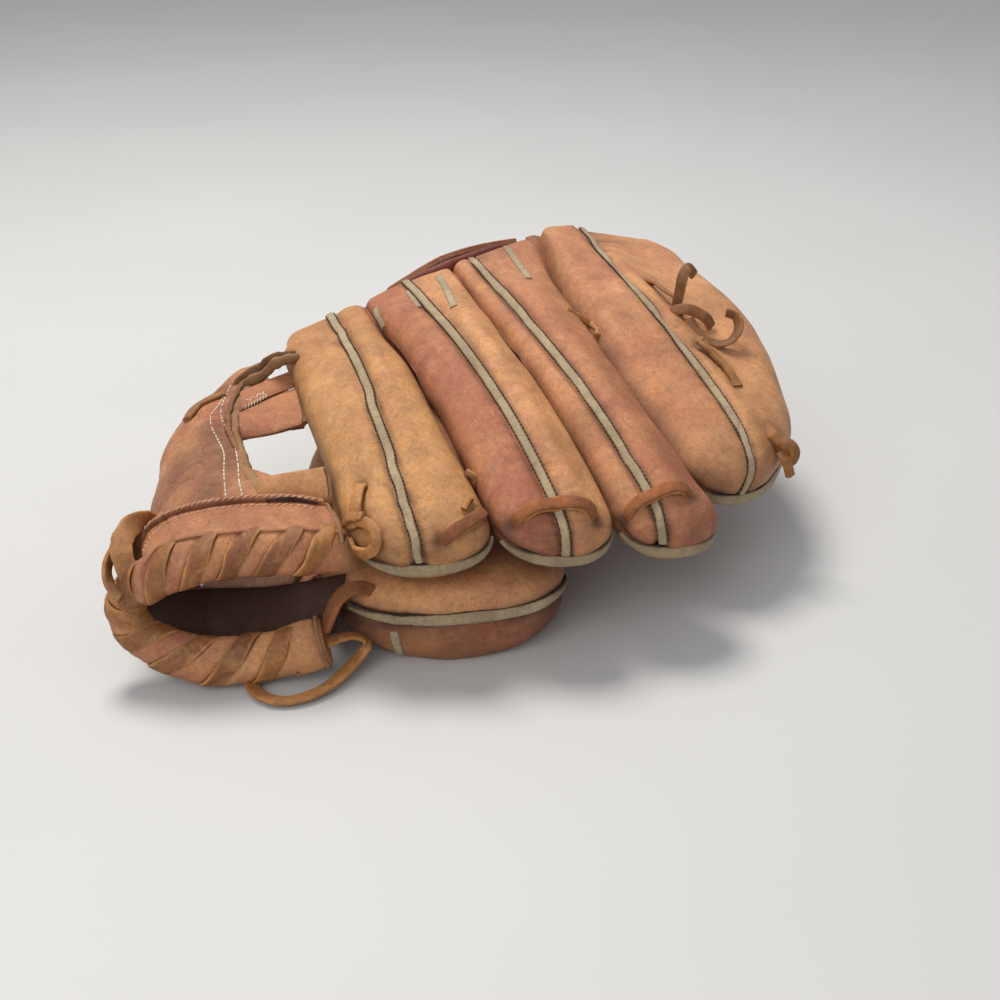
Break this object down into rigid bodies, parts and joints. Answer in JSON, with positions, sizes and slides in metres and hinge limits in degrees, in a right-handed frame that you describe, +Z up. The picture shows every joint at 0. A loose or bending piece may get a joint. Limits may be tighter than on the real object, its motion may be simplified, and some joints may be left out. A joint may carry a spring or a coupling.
{
  "type": "baseball glove",
  "caption": "Worn tan leather baseball glove for the left hand, lying palm down and folded shut, with laced fingers and a rolled, lace-wrapped web.",
  "frame": {"origin": "centre of the object's box at the floor that it rests on", "axes": "+X across the fingers from the web to the little finger, +Y from the finger tips to the wrist, +Z up"},
  "size_m": [0.33, 0.2564, 0.1203],
  "materials": {
    "tan_leather": "worn, satin",
    "brown_leather": "worn, satin",
    "palm_leather": "worn, matt",
    "welt": "raw, matt",
    "lace": "waxed rawhide, satin",
    "binding": "satin"
  },
  "bodies": {
    "root": {"index_finger": "tan_leather", "middle_finger": "brown_leather", "ring_finger": "brown_leather", "little_finger": "brown_leather", "thumb": "brown_leather", "index_back_welt": "welt", "index_tip_welt": "welt", "middle_back_welt": "welt", "middle_tip_welt": "welt", "ring_back_welt": "welt", "ring_tip_welt": "welt", "little_back_welt": "welt", "little_tip_welt": "welt", "thumb_tip_welt": "welt", "web_post": "brown_leather", "web_front_strap_index": "brown_leather", "web_front_strap_thumb": "brown_leather", "web_back_strap_index": "brown_leather", "web_back_strap_thumb": "brown_leather", "web_rim": "brown_leather", "palm": "palm_leather", "heel_pad": "palm_leather", "wrist_binding": "binding", "wrist_strap": "brown_leather", "middle_tip_lace": "lace", "ring_tip_lace": "lace", "index_right_lace": "lace", "index_left_lace": "lace", "little_knot_lace": "lace", "little_tip_lace": "lace", "web_rim_lace": "lace", "floor_lace": "lace", "web_side_lace": "lace"}
  },
  "joints": []
}
